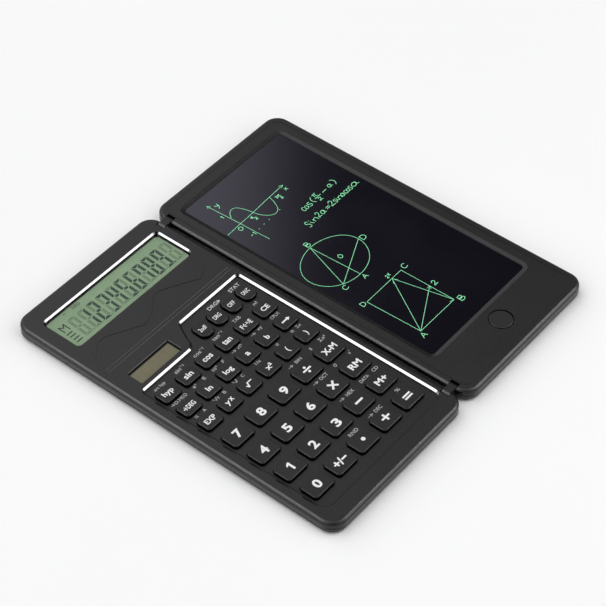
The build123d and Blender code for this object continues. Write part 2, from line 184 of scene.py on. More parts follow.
def make_handling_marks():
    """Faint rubs and hairline scratches from handling."""
    t = new_group(
        "handling_marks",
        [("Scale", "value", 30.0), ("Scratches", "value", 0.5), ("Rubs", "value", 0.5)],
        [("Mask", "value")],
    )
    where = t.add("ShaderNodeTexCoord").outputs["Object"]
    rubs = t.remap(t.noise(t.entry.outputs["Scale"], 4.0, 0.6, where), 0.5, 0.75, 0.0, 1.0, True)
    lines = None
    for turn, stretch in ((0.5, (14.0, 0.5, 1.0)), (2.1, (0.4, 11.0, 1.0))):
        turned = t.add(
            "ShaderNodeMapping",
            {"Vector": where, "Rotation": (0.0, 0.0, turn), "Scale": stretch},
        )
        hair_scale = t.math("MULTIPLY", t.entry.outputs["Scale"], 7.0)
        hair = t.noise(hair_scale, 1.0, 0.4, turned.outputs[0])
        hair = t.remap(hair, 0.69, 0.72, 0.0, 1.0)
        lines = hair if lines is None else t.math("MAXIMUM", lines, hair)
    scratches = t.math("MULTIPLY", lines, t.entry.outputs["Scratches"])
    soft = t.math("MULTIPLY", rubs, t.entry.outputs["Rubs"])
    t.feed(t.exit.inputs["Mask"], t.math("MAXIMUM", scratches, soft))
    return t.tree


# How far a 45 degree face's normal points up.
SLOPE_UP = 0.7071


def make_slope_polish():
    """1 on the 45 degree faces between Low and High that a polished tool leaves, 0 elsewhere."""
    t = new_group(
        "slope_polish",
        [("Width", "value", 0.04), ("Low", "vector", None), ("High", "vector", None)],
        [("Mask", "value")],
    )
    normal = t.add("ShaderNodeNewGeometry").outputs["True Normal"]
    up = t.add("ShaderNodeSeparateXYZ", {"Vector": normal}).outputs["Z"]
    off = t.math("ABSOLUTE", t.math("SUBTRACT", up, SLOPE_UP))
    mask = t.math("LESS_THAN", off, t.entry.outputs["Width"])
    place = t.add("ShaderNodeTexCoord").outputs["Object"]
    where = t.add("ShaderNodeSeparateXYZ", {"Vector": place}).outputs
    low = t.add("ShaderNodeSeparateXYZ", {"Vector": t.entry.outputs["Low"]}).outputs
    high = t.add("ShaderNodeSeparateXYZ", {"Vector": t.entry.outputs["High"]}).outputs
    for axis in ("X", "Y"):
        mask = t.math("MULTIPLY", mask, t.math("GREATER_THAN", where[axis], low[axis]))
        mask = t.math("MULTIPLY", mask, t.math("LESS_THAN", where[axis], high[axis]))
    t.feed(t.exit.inputs["Mask"], mask)
    return t.tree


def make_upright_shade_mask():
    """1 on faces that stand up, 0 on level faces; plastic() makes those faces smooth and paints
    them near black as painted shade.
    """
    t = new_group("upright_walls", [("Limit", "value", 0.35)], [("Mask", "value")])
    normal = t.add("ShaderNodeNewGeometry").outputs["True Normal"]
    up = t.math("ABSOLUTE", t.add("ShaderNodeSeparateXYZ", {"Vector": normal}).outputs["Z"])
    t.feed(t.exit.inputs["Mask"], t.math("LESS_THAN", up, t.entry.outputs["Limit"]))
    return t.tree


GRAIN = make_moulded_grain()
DRIFT = make_tone_drift()
MARKS = make_handling_marks()
POLISH = make_slope_polish()
UPRIGHT_SHADE = make_upright_shade_mask()


# ---------------------------------------------------------------- materials


def start_material(name):
    """A new material with an empty tree, its Principled shader and its output."""
    material = bpy.data.materials.new(name)
    material.use_nodes = True
    material.node_tree.nodes.clear()
    t = Tree(material.node_tree)
    t.shader = t.add("ShaderNodeBsdfPrincipled")
    t.output = t.add("ShaderNodeOutputMaterial", {"Surface": t.shader.outputs[0]})
    return material, t


# Areas with polished bevels, in metres: round the display and the two parts of the keypad.
POLISHED_AREAS = (
    ((-0.0785, 0.0535, 0.0), (-0.0060, 0.0770, 0.0)),
    ((-0.0505, 0.0190, 0.0), (-0.0038, 0.0326, 0.0)),
    ((-0.0783, -0.0745, 0.0), (-0.0038, 0.0194, 0.0)),
)
POLISHED = (0.20, 0.20, 0.202)
# Near-black colour painted on faces that stand up: painted shade.
WALL_PAINTED_SHADE = (0.0012, 0.0012, 0.0013)


def plastic(
    name,
    colour,
    other,
    rough=(0.34, 0.46),
    grain_scale=2000.0,
    grain_depth=0.00005,
    marks=0.4,
    polish=None,
    ior=1.42,
    wall_shade=None,
):
    """Moulded plastic with grain, a slow drift of tone, and marks from handling; with wall_shade,
    faces that stand up are also made smooth and painted near black as painted shade.
    """
    material, t = start_material(name)
    grain = t.use(GRAIN, Scale=grain_scale, Depth=1.0)
    drift = t.use(DRIFT, Color=(*colour, 1), Other=(*other, 1), Scale=45.0)
    wear = t.use(MARKS, Scale=32.0, Scratches=marks, Rubs=marks * 0.7)
    flecked = t.mix(
        t.math("MULTIPLY", grain["Fleck"], 0.35),
        drift["Color"],
        (*[c * 1.5 for c in other], 1),
    )
    worn = t.mix(t.math("MULTIPLY", wear["Mask"], 0.3), flecked, (*[c * 2.2 for c in other], 1))
    roughness = t.remap(grain["Fleck"], 0.0, 1.0, rough[0], rough[1])
    roughness = t.math("SUBTRACT", roughness, t.math("MULTIPLY", wear["Mask"], 0.08))
    height = grain["Height"]
    # Painted shade: faces that stand up get a near-black base colour, and are made smoother and
    # without grain.
    if wall_shade is not None:
        upright = t.use(UPRIGHT_SHADE, Limit=wall_shade)["Mask"]
        worn = t.mix(upright, worn, (*WALL_PAINTED_SHADE, 1))
        roughness = t.math("SUBTRACT", roughness, t.math("MULTIPLY", upright, rough[0] - 0.12))
        height = t.math("MULTIPLY", height, t.math("SUBTRACT", 1.0, upright))
    if polish is not None:
        mask = 0.0
        for low, high in POLISHED_AREAS:
            mask = t.math("MAXIMUM", mask, t.use(POLISH, Width=0.05, Low=low, High=high)["Mask"])
        smooth = t.remap(grain["Fleck"], 0.0, 1.0, polish, polish * 1.3)
        roughness = t.math(
            "ADD",
            t.math("MULTIPLY", roughness, t.math("SUBTRACT", 1.0, mask)),
            t.math("MULTIPLY", smooth, mask),
        )
        height = t.math("MULTIPLY", height, t.math("SUBTRACT", 1.0, mask))
        worn = t.mix(mask, worn, (*POLISHED, 1))
        t.feed(t.shader.inputs["Metallic"], mask)
    t.feed(t.shader.inputs["Base Color"], worn)
    t.feed(t.shader.inputs["Roughness"], roughness)
    t.shader.inputs["IOR"].default_value = ior
    t.relief(height, 0.8, grain_depth)
    return material


def ink(name, colour, other, rough=0.5, painted_glow=0.0, ior=1.45):
    """Printing ink or a switched segment: an even colour with a faint mottle; its emission, when
    asked for, is painted light.
    """
    material, t = start_material(name)
    drift = t.use(DRIFT, Color=(*colour, 1), Other=(*other, 1), Scale=900.0)
    t.feed(t.shader.inputs["Base Color"], drift["Color"])
    t.feed(t.shader.inputs["Roughness"], t.remap(drift["Mask"], 0.0, 1.0, rough, rough + 0.12))
    t.shader.inputs["IOR"].default_value = ior
    # Emission here is painted light: the part does not give out light.
    if painted_glow:
        t.feed(t.shader.inputs["Emission Color"], drift["Color"])
        t.shader.inputs["Emission Strength"].default_value = painted_glow
    grain = t.use(GRAIN, Scale=5200.0, Depth=1.0)
    t.relief(grain["Height"], 0.3, 0.000004)
    return material


def film_material():
    """Dark writing film under a smooth skin, with faint brushed variation."""
    material, t = start_material("writing_film_dark")
    drift = t.use(
        DRIFT, Color=(0.0045, 0.0041, 0.0068, 1), Other=(0.0056, 0.0050, 0.0082, 1), Scale=28.0
    )
    wear = t.use(MARKS, Scale=26.0, Scratches=0.5, Rubs=0.35)
    t.feed(
        t.shader.inputs["Base Color"],
        t.mix(t.math("MULTIPLY", wear["Mask"], 0.12), drift["Color"], (0.02, 0.021, 0.026, 1)),
    )
    t.feed(t.shader.inputs["Roughness"], t.remap(wear["Mask"], 0.0, 1.0, 0.11, 0.17))
    t.shader.inputs["IOR"].default_value = 1.57
    t.shader.inputs["Specular Tint"].default_value = (0.80, 0.78, 1.0, 1)
    grain = t.use(GRAIN, Scale=3400.0, Depth=1.0)
    t.relief(grain["Height"], 0.12, 0.000004)
    return material


def clear_material():
    """Clear acrylic; it lets shadow rays through so what is under it stays lit."""
    material, t = start_material("clear_acrylic")
    smear = t.use(MARKS, Scale=40.0, Scratches=0.3, Rubs=0.5)
    t.shader.inputs["Base Color"].default_value = (0.96, 0.98, 0.97, 1)
    t.feed(t.shader.inputs["Roughness"], t.remap(smear["Mask"], 0.0, 1.0, 0.0, 0.025))
    t.shader.inputs["IOR"].default_value = 1.22
    t.shader.inputs["Transmission Weight"].default_value = 1.0
    clear = t.add("ShaderNodeBsdfTransparent")
    path = t.add("ShaderNodeLightPath").outputs
    unseen = t.math("MAXIMUM", path["Is Shadow Ray"], path["Is Diffuse Ray"])
    both = t.add("ShaderNodeMixShader", {0: unseen, 1: t.shader.outputs[0], 2: clear.outputs[0]})
    t.feed(t.output.inputs["Surface"], both.outputs[0])
    return material


def display_material():
    """Grey-green reflector of the number display."""
    material, t = start_material("display_reflector")
    drift = t.use(
        DRIFT, Color=(0.190, 0.290, 0.165, 1), Other=(0.215, 0.315, 0.185, 1), Scale=60.0
    )
    grain = t.use(GRAIN, Scale=7000.0, Depth=1.0)
    t.feed(
        t.shader.inputs["Base Color"],
        t.mix(t.math("MULTIPLY", grain["Fleck"], 0.3), drift["Color"], (0.165, 0.255, 0.145, 1)),
    )
    t.feed(t.shader.inputs["Roughness"], t.remap(grain["Fleck"], 0.0, 1.0, 0.35, 0.5))
    t.shader.inputs["IOR"].default_value = 1.3
    t.relief(grain["Height"], 0.2, 0.000003)
    return material


def solar_material():
    """Amorphous solar cell: brown-olive glass with fine grid lines."""
    material, t = start_material("solar_glass")
    drift = t.use(
        DRIFT, Color=(0.118, 0.104, 0.046, 1), Other=(0.140, 0.124, 0.058, 1), Scale=90.0
    )
    grain = t.use(GRAIN, Scale=4200.0, Depth=1.0)
    t.feed(
        t.shader.inputs["Base Color"],
        t.mix(t.math("MULTIPLY", grain["Fleck"], 0.25), drift["Color"], (0.12, 0.11, 0.07, 1)),
    )
    t.feed(t.shader.inputs["Roughness"], t.remap(grain["Fleck"], 0.0, 1.0, 0.18, 0.3))
    t.shader.inputs["Coat Weight"].default_value = 0.25
    t.relief(grain["Height"], 0.15, 0.000003)
    return material


def steel_material(name, colour, rough):
    """Turned or pressed bright metal with fine tool lines."""
    material, t = start_material(name)
    drift = t.use(DRIFT, Color=(*colour, 1), Other=(*[c * 0.82 for c in colour], 1), Scale=120.0)
    marks = t.use(MARKS, Scale=160.0, Scratches=0.8, Rubs=0.4)
    t.feed(t.shader.inputs["Base Color"], drift["Color"])
    t.shader.inputs["Metallic"].default_value = 1.0
    t.feed(t.shader.inputs["Roughness"], t.remap(marks["Mask"], 0.0, 1.0, rough, rough + 0.2))
    t.relief(marks["Mask"], 0.2, 0.000005)
    return material


# The wall_shade limits below make these plastics' upright faces near black: painted shade.
SHELL = plastic(
    "shell_black",
    (0.0062, 0.0062, 0.0064),
    (0.0078, 0.0078, 0.0080),
    rough=(0.30, 0.42),
    marks=0.35,
    wall_shade=0.35,
)
TRAY = plastic(
    "lower_shell_black",
    (0.0062, 0.0062, 0.0064),
    (0.0078, 0.0078, 0.0080),
    marks=0.35,
    ior=1.47,
)
COVER = plastic(
    "keypad_cover_black",
    (0.0062, 0.0062, 0.0064),
    (0.0078, 0.0078, 0.0080),
    rough=(0.30, 0.42),
    marks=0.3,
    polish=0.1,
    wall_shade=0.35,
)
KEY = plastic(
    "key_black",
    (0.0078, 0.0078, 0.0080),
    (0.0098, 0.0098, 0.0100),
    rough=(0.34, 0.44),
    grain_scale=3400.0,
    marks=0.5,
    ior=1.36,
    wall_shade=0.5,
)
HINGE = plastic(
    "hinge_black",
    (0.0055, 0.0055, 0.0056),
    (0.0070, 0.0070, 0.0071),
    rough=(0.3, 0.42),
)
BUTTON = plastic(
    "erase_button_black",
    (0.0058, 0.0058, 0.0059),
    (0.0072, 0.0072, 0.0073),
    rough=(0.34, 0.44),
    grain_scale=3400.0,
    wall_shade=0.35,
)
RUBBER = plastic(
    "foot_rubber_grey",
    (0.035, 0.035, 0.036),
    (0.046, 0.046, 0.047),
    rough=(0.7, 0.85),
    grain_scale=1800.0,
    grain_depth=0.00002,
)
BOARD = plastic("board_green", (0.012, 0.07, 0.03), (0.016, 0.09, 0.04), rough=(0.35, 0.5))
SHEET = plastic("contact_sheet_grey", (0.16, 0.16, 0.16), (0.2, 0.2, 0.2), rough=(0.5, 0.65))
STEEL = steel_material("bright_steel", (0.62, 0.61, 0.59), 0.22)
SCREW = steel_material("blackened_screw", (0.09, 0.09, 0.092), 0.34)
FILM = film_material()
CLEAR = clear_material()
REFLECTOR = display_material()
SOLAR = solar_material()
LEGEND_INK = ink("legend_white_ink", (0.86, 0.86, 0.85), (0.80, 0.80, 0.79))
SMALL_INK = ink("legend_grey_ink", (0.46, 0.46, 0.46), (0.38, 0.38, 0.38))
BRIGHT_INK = ink("legend_pale_ink", (0.62, 0.62, 0.61), (0.55, 0.55, 0.54))
SEGMENT = ink("display_segment_on", (0.006, 0.024, 0.014), (0.009, 0.031, 0.018), ior=1.2)
GHOST = ink("display_segment_off", (0.12, 0.18, 0.105), (0.135, 0.195, 0.115), ior=1.2)
# Black ink of the display's printed border, also used for bands of painted shade at the foot of
# far walls round the display, the solar cell and the writing film.
BLACK_BORDER_AND_SHADE = ink(
    "black_border_and_painted_shade",
    (0.004, 0.0045, 0.004),
    (0.006, 0.0065, 0.006),
    rough=0.55,
    ior=1.2,
)
# The written lines get emission as painted light; on the real film they only reflect light.
STROKE = ink("written_line_green_painted_glow", (0.20, 0.66, 0.34), (0.24, 0.74, 0.40), rough=0.45, painted_glow=0.42)
CELL_LINE = ink("solar_cell_line", (0.095, 0.084, 0.038), (0.11, 0.097, 0.048), rough=0.4)

FINISH = {
    "base_tray": TRAY,
    "keypad_cover": COVER,
    "tablet_tray": TRAY,
    "tablet_bezel": SHELL,
    "lcd_window": CLEAR,
    "lcd_module": REFLECTOR,
    "solar_cell": SOLAR,
    "main_board": BOARD,
    "tablet_board": BOARD,
    "dome_sheet": SHEET,
    "base_cell": STEEL,
    "tablet_cell": STEEL,
    "base_battery_door": TRAY,
    "base_feet": RUBBER,
    "hinge_links": HINGE,
    "hinge_pins": STEEL,
    "writing_film": FILM,
    "erase_button": BUTTON,
}
for name, node in NODES.items():
    finish = FINISH.get(name, KEY)
    node.data.materials.clear()
    node.data.materials.append(finish)


# ---------------------------------------------------------------- helpers for new pieces


def add_piece(name, mesh, material, body):
    """Puts a mesh in the scene as a piece that moves with a body."""
    mesh.materials.clear()
    mesh.materials.append(material)
    piece = bpy.data.objects.new(name, mesh)
    bpy.context.scene.collection.objects.link(piece)
    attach(piece, body)
    return piece


def mesh_from_curve(curve):
    """The mesh that a curve or its lettering makes; the curve is used up."""
    maker = bpy.data.objects.new(curve.name, curve)
    bpy.context.scene.collection.objects.link(maker)
    bpy.context.view_layer.update()
    graph = bpy.context.evaluated_depsgraph_get()
    mesh = bpy.data.meshes.new_from_object(maker.evaluated_get(graph))
    bpy.data.objects.remove(maker)
    bpy.data.curves.remove(curve)
    return mesh


def lettering(text, centre, wide, tall, weight, z):
    """A solid mesh of flat lettering, wide by tall in millimetres with its middle at centre."""
    curve = bpy.data.curves.new("lettering", "FONT")
    curve.body = text
    curve.size = 0.004
    curve.offset = weight * MM
    curve.extrude = INK * MM
    curve.resolution_u = 4
    mesh = mesh_from_curve(curve)
    xs = [v.co.x for v in mesh.vertices]
    ys = [v.co.y for v in mesh.vertices]
    across = wide * MM / (max(xs) - min(xs))
    up = tall * MM / (max(ys) - min(ys))
    middle = Vector(((max(xs) + min(xs)) / 2, (max(ys) + min(ys)) / 2, 0))
    for v in mesh.vertices:
        flat = v.co - middle
        v.co.x = flat.x * across + centre[0] * MM
        v.co.y = flat.y * up + centre[1] * MM
        v.co.z += z * MM
    return mesh


def flat_mesh(name, outlines, z, thick):
    """Thin plates from outlines given in millimetres."""
    shape = bmesh.new()
    for outline in outlines:
        low = [shape.verts.new((x * MM, y * MM, z * MM)) for x, y in outline]
        high = [shape.verts.new((x * MM, y * MM, (z + thick) * MM)) for x, y in outline]
        shape.faces.new(high)
        shape.faces.new(low[::-1])
        for i in range(len(low)):
            j = (i + 1) % len(low)
            shape.faces.new((low[i], low[j], high[j], high[i]))
    bmesh.ops.recalc_face_normals(shape, faces=shape.faces)
    mesh = bpy.data.meshes.new(name)
    shape.to_mesh(mesh)
    shape.free()
    return mesh


def join_meshes(meshes, name):
    """One mesh of several."""
    shape = bmesh.new()
    for mesh in meshes:
        shape.from_mesh(mesh)
        bpy.data.meshes.remove(mesh)
    joined = bpy.data.meshes.new(name)
    shape.to_mesh(joined)
    shape.free()
    return joined


def middle_of(node):
    low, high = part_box(node)
    return (low.x + high.x) / 2 / MM, (low.y + high.y) / 2 / MM


# ---------------------------------------------------------------- key legends

SMALL, ROUND, LARGE = "small", "round", "large"
# Each key's legend: what it says, the kind of key, its width and its height in millimetres.
KEY_LEGENDS = {
    "second": ("2ndF", ROUND, 4.0, 2.2), "drg": ("DRG", ROUND, 4.0, 2.2),
    "off": ("OFF", ROUND, 3.8, 2.2), "on": ("ON/C", ROUND, 4.2, 2.2),
    "hyp": ("hyp", SMALL, 5.4, 3.3), "sin": ("sin", SMALL, 4.6, 2.6),
    "cos": ("cos", SMALL, 5.2, 2.0), "tan": ("tan", SMALL, 4.8, 2.5),
    "notation": ("F↔E", SMALL, 6.1, 2.5), "clear_entry": ("CE", SMALL, 4.2, 2.5),
    "degrees": ("→DEG", SMALL, 6.4, 2.4), "ln": ("ln", SMALL, 2.7, 2.6),
    "log": ("log", SMALL, 4.7, 3.3), "a": ("a", SMALL, 1.9, 2.0), "b": ("b", SMALL, 1.8, 2.6),
    "backspace": ("→", SMALL, 4.8, 2.0), "exponent": ("EXP", SMALL, 5.6, 2.5),
    "power": ("yˣ", SMALL, 4.4, 3.2), "root": ("√", SMALL, 4.4, 2.7),
    "square": ("x²", SMALL, 3.8, 2.8), "open_bracket": ("(", SMALL, 1.1, 3.5),
    "close_bracket": (")", SMALL, 1.1, 3.5), "divide": ("÷", LARGE, 4.6, 3.7),
    "store": ("X-M", LARGE, 7.6, 3.1), "multiply": ("×", LARGE, 3.9, 3.6),
    "recall": ("RM", LARGE, 6.3, 3.2), "minus": ("−", LARGE, 4.5, 1.1),
    "memory_add": ("M+", LARGE, 6.2, 3.1), "plus": ("+", LARGE, 4.5, 3.6),
    "equals": ("=", LARGE, 4.5, 2.4), "sign": ("+/−", LARGE, 7.2, 3.9),
    "point": ("·", LARGE, 1.9, 1.9),
}
for digit in "0123456789":
    KEY_LEGENDS[digit] = (digit, LARGE, 2.4 if digit == "1" else 3.4, 4.3)
# Weight added to the letters, and how far a legend sits from the middle of its key.
STROKE_ADDED = {SMALL: 0.09, ROUND: 0.05, LARGE: 0.14}
NUDGE = {SMALL: (0.1, 0.1), ROUND: (-0.1, 0.1), LARGE: (0.15, 0.25)}
DOT_SIDES = 16


def stroke(x0, y0, x1, y1, thick):
    """Outline of a straight stroke with square ends."""
    run = math.hypot(x1 - x0, y1 - y0)
    ux, uy = (x1 - x0) / run * thick / 2, (y1 - y0) / run * thick / 2
    return [(x0 + uy, y0 - ux), (x1 + uy, y1 - ux), (x1 - uy, y1 + ux), (x0 - uy, y0 + ux)]


def dot(radius, y=0.0):
    turns = [2 * math.pi * k / DOT_SIDES for k in range(DOT_SIDES)]
    return [(radius * math.cos(a), y + radius * math.sin(a)) for a in turns]


def cross(across, up, bar, post, turn=0.0):
    """One outline of two crossed bars; across and up are half lengths."""
    w, h = post / 2, bar / 2
    corner = [(across, h), (w, h), (w, up), (-w, up), (-w, h), (-across, h)]
    c, s = math.cos(turn), math.sin(turn)
    return [(x * c - y * s, x * s + y * c) for x, y in corner + [(-x, -y) for x, y in corner]]


# Signs drawn as outlines, their middle at 0, 0.
DRAWN = {
    "1": [[(1.0, 2.1), (0.2, 2.1), (-1.1, 1.25), (-1.1, 0.4), (0.0, 0.95),
           (0.0, -2.1), (1.0, -2.1)]],
    "divide": [stroke(-2.3, 0, 2.3, 0, 0.85), dot(0.62, 1.45), dot(0.62, -1.45)],
    "multiply": [cross(2.4, 2.4, 0.95, 0.95, math.pi / 4)],
    "minus": [stroke(-2.25, 0, 2.25, 0, 0.95)],
    "plus": [cross(2.25, 1.8, 0.9, 0.95)],
    "equals": [stroke(-2.25, 0.72, 2.25, 0.72, 0.85), stroke(-2.25, -0.72, 2.25, -0.72, 0.85)],
    "point": [dot(0.95)],
    "root": [[(-2.3, -0.1), (-1.7, 0.25), (-1.25, -0.35), (-0.55, 1.35), (2.2, 1.35), (2.2, 0.85),
              (-0.1, 0.85), (-0.95, -1.35), (-1.45, -1.35), (-1.95, -0.4)]],
    "backspace": [[(-2.3, 0.375), (-2.3, -0.375), (0.8, -0.375), (0.8, -1.05),
                   (2.4, 0.0), (0.8, 1.05), (0.8, 0.375)]],
}


def placed_outlines(name, outlines, centre, z):
    moved = [[(x + centre[0], y + centre[1]) for x, y in outline] for outline in outlines]
    return flat_mesh(name, moved, z, 2 * INK)


for key, (text, kind, wide, tall) in KEY_LEGENDS.items():
    node = "key_" + key
    x, y = middle_of(node)
    place = (x + NUDGE[kind][0], y + NUDGE[kind][1])
    if key in DRAWN:
        mesh = placed_outlines("legend_" + key, DRAWN[key], place, KEY_TOP_Z)
    elif key == "power":
        mesh = join_meshes([
            lettering("y", (place[0] - 1.1, place[1] - 0.4), 2.3, 2.6, 0.09, KEY_TOP_Z + INK),
            lettering("x", (place[0] + 1.3, place[1] + 0.5), 2.0, 1.9, 0.09, KEY_TOP_Z + INK),
        ], "legend_power")
    else:
        mesh = lettering(text, place, wide, tall, STROKE_ADDED[kind], KEY_TOP_Z + INK)
    add_piece("legend_" + key, mesh, LEGEND_INK, node)


# ---------------------------------------------------------------- small legends on the panel

# What each legend says, where its middle is, and its width and height, in millimetres.
PANEL_LEGENDS = [
    ("arc hyp", -72.0, 15.4, 6.2, 2.0), ("sin⁻¹", -60.0, 15.5, 5.6, 1.9),
    ("cos⁻¹", -48.2, 15.5, 6.2, 1.9), ("tan⁻¹", -36.4, 15.5, 6.2, 1.9),
    ("TAB", -24.3, 15.5, 4.3, 1.7), ("n!", -12.4, 15.5, 2.2, 1.7),
    ("→D.MS", -73.4, 4.6, 7.2, 1.6), ("D", -68.7, 4.6, 1.3, 1.6),
    ("e", -63.4, 4.4, 1.2, 1.2), ("x", -62.2, 5.1, 0.9, 0.85), ("E", -57.3, 4.6, 1.3, 1.6),
    ("10", -51.1, 4.5, 2.0, 1.5), ("x", -49.4, 5.1, 0.9, 0.85), ("F", -45.5, 4.6, 1.2, 1.6),
    ("→", -38.6, 4.6, 2.6, 1.3), ("rθ", -35.0, 4.6, 2.5, 1.7),
    ("→", -26.3, 4.6, 2.6, 1.3), ("xy", -22.1, 4.5, 2.6, 1.6),
    ("CPLX", -12.6, 4.6, 5.0, 1.6),
    ("π", -74.7, -6.6, 1.5, 1.4), ("A", -70.0, -6.6, 1.5, 1.6),
    ("x", -63.9, -6.0, 0.8, 0.8), ("√", -62.8, -6.5, 1.4, 1.9),
    ("y", -61.5, -6.8, 1.0, 1.5), ("B", -57.8, -6.6, 1.3, 1.6),
    ("3", -51.8, -6.0, 0.7, 0.9), ("√", -50.5, -6.5, 1.9, 1.9), ("C", -46.5, -6.6, 1.4, 1.6),
    ("1/x", -37.0, -6.6, 3.0, 1.7), ("σ", -24.5, -6.7, 1.3, 1.3),
    ("n", -14.9, -6.8, 1.3, 1.3), ("Σx", -10.9, -6.6, 2.8, 1.6),
    ("→", -30.5, -18.8, 2.8, 1.4), ("BIN", -25.8, -18.8, 3.6, 1.5),
    ("s", -17.8, -18.8, 1.0, 1.5), ("Σx²", -10.2, -18.6, 4.0, 1.8),
    ("→", -31.0, -32.2, 2.9, 1.4), ("OCT", -26.2, -32.2, 4.6, 1.7),
    ("σ", -18.5, -32.2, 1.5, 1.6), ("x̄", -9.2, -32.2, 1.6, 1.8),
    ("→", -31.2, -45.8, 2.9, 1.4), ("HEX", -26.3, -45.8, 4.4, 1.7),
    ("DATA", -16.8, -45.8, 5.2, 1.6), ("CD", -9.9, -45.8, 3.3, 1.7),
    ("→", -30.6, -59.8, 2.9, 1.4), ("DEC", -25.9, -59.8, 4.2, 1.7),
    ("RND", -41.8, -59.8, 5.2, 1.7), ("%", -13.2, -59.8, 2.2, 1.6),
]
BRIGHT_LEGENDS = [("DRG", -24.8, 28.2, 5.5, 1.9), ("STAT", -11.0, 28.2, 6.3, 1.9)]
DRG_POINTER = [(-21.6, 27.3), (-20.2, 28.2), (-21.6, 29.1)]
PANEL_STROKE_ADDED = 0.05
for name, rows, finish in (
    ("panel_legends", PANEL_LEGENDS, SMALL_INK),
    ("panel_legends_bright", BRIGHT_LEGENDS, BRIGHT_INK),
):
    parts = [
        lettering(text, (x, y), wide, tall, PANEL_STROKE_ADDED, PANEL_Z + INK)
        for text, x, y, wide, tall in rows
    ]
    if finish is BRIGHT_INK:
        parts.append(flat_mesh("pointer", [DRG_POINTER], PANEL_Z, 2 * INK))
    add_piece(name, join_meshes(parts, name), finish, "calculator")


# ---------------------------------------------------------------- number display

DIGIT_W, DIGIT_H, DIGIT_SLANT, BAR = 4.2, 12.3, 0.05, 1.35
# Levels and thicknesses of the lit and the unlit bars.
LIT_Z, LIT_THICK = LCD_Z + 0.006, 0.02
UNLIT_Z, UNLIT_THICK = LCD_Z + 0.002, 0.016
SIGN_Z = LCD_Z + 0.013
LIT = {
    "0": "abcdef", "1": "bc", "2": "abdeg", "3": "abcdg", "4": "bcfg", "5": "acdfg",
    "6": "acdefg", "7": "abcf", "8": "abcdefg", "9": "abcdfg", " ": "", "E": "adefg",
}


def bar_shapes(x, y, width, height, thick):
    """Outlines of the seven bars of one digit, its lower left corner at x, y."""
    t, w, h, m = thick, width, height, height / 2
    g = thick * 0.16
    bars = {
        "a": [(g, h), (w - g, h), (w - t - g, h - t), (t + g, h - t)],
        "d": [(t + g, t), (w - t - g, t), (w - g, 0), (g, 0)],
        "f": [(0, h - g), (t, h - t - g), (t, m + t / 2 + g), (0, m + g)],
        "b": [(w - t, h - t - g), (w, h - g), (w, m + g), (w - t, m + t / 2 + g)],
        "e": [(0, m - g), (t, m - t / 2 - g), (t, t + g), (0, g)],
        "c": [(w - t, m - t / 2 - g), (w, m - g), (w, g), (w - t, t + g)],
        "g": [
            (g + t * 0.4, m), (t + g, m + t / 2), (w - t - g, m + t / 2),
            (w - g - t * 0.4, m), (w - t - g, m - t / 2), (t + g, m - t / 2),
        ],
    }
    return {k: [(x + px + py * DIGIT_SLANT, y + py) for px, py in v] for k, v in bars.items()}


def square_at(x, y, side):
    s = side / 2
    return [(x - s, y - s), (x + s, y - s), (x + s, y + s), (x - s, y + s)]


DIGIT_X0, DIGIT_Y0, DIGIT_PITCH = -69.9, 57.45, 5.62
on_bars, off_bars = [], []
for index, digit in enumerate(" 123456789 "):
    x0 = DIGIT_X0 + index * DIGIT_PITCH
    for bar, outline in bar_shapes(x0, DIGIT_Y0, DIGIT_W, DIGIT_H, BAR).items():
        (on_bars if bar in LIT[digit] else off_bars).append(outline)
    point = square_at(x0 + DIGIT_W + 0.62, DIGIT_Y0 + 0.42, 0.8)
    (on_bars if index == 9 else off_bars).append(point)
for y in (64.0, 62.1, 60.1, 58.2):
    on_bars.append([(-75.0, y - 0.32), (-71.6, y - 0.32), (-71.6, y + 0.32), (-75.0, y + 0.32)])


def rounded_outline(x, y, wide, tall, radius):
    """Corner by corner round a rectangle, its middle at x, y."""
    steps = 8
    outline = []
    for quarter, (sx, sy) in enumerate(((1, 1), (-1, 1), (-1, -1), (1, -1))):
        cx, cy = x + sx * (wide / 2 - radius), y + sy * (tall / 2 - radius)
        for k in range(steps + 1):
            a = math.pi / 2 * (quarter + k / steps)
            outline.append((cx + radius * math.cos(a), cy + radius * math.sin(a)))
    return outline


def flat_frame(name, inner, outer, z, thick):
    """A thin flat frame between two outlines of as many points."""
    shape = bmesh.new()
    rings = [
        [shape.verts.new((x * MM, y * MM, level * MM)) for x, y in outline]
        for outline, level in ((inner, z), (outer, z), (outer, z + thick), (inner, z + thick))
    ]
    for a in range(4):
        low, high = rings[a], rings[(a + 1) % 4]
        for i in range(len(inner)):
            j = (i + 1) % len(inner)
            shape.faces.new((low[i], low[j], high[j], high[i]))
    bmesh.ops.recalc_face_normals(shape, faces=shape.faces)
    mesh = bpy.data.meshes.new(name)
    shape.to_mesh(mesh)
    shape.free()
    return mesh


LCD_X, LCD_Y = middle_of("lcd_window")
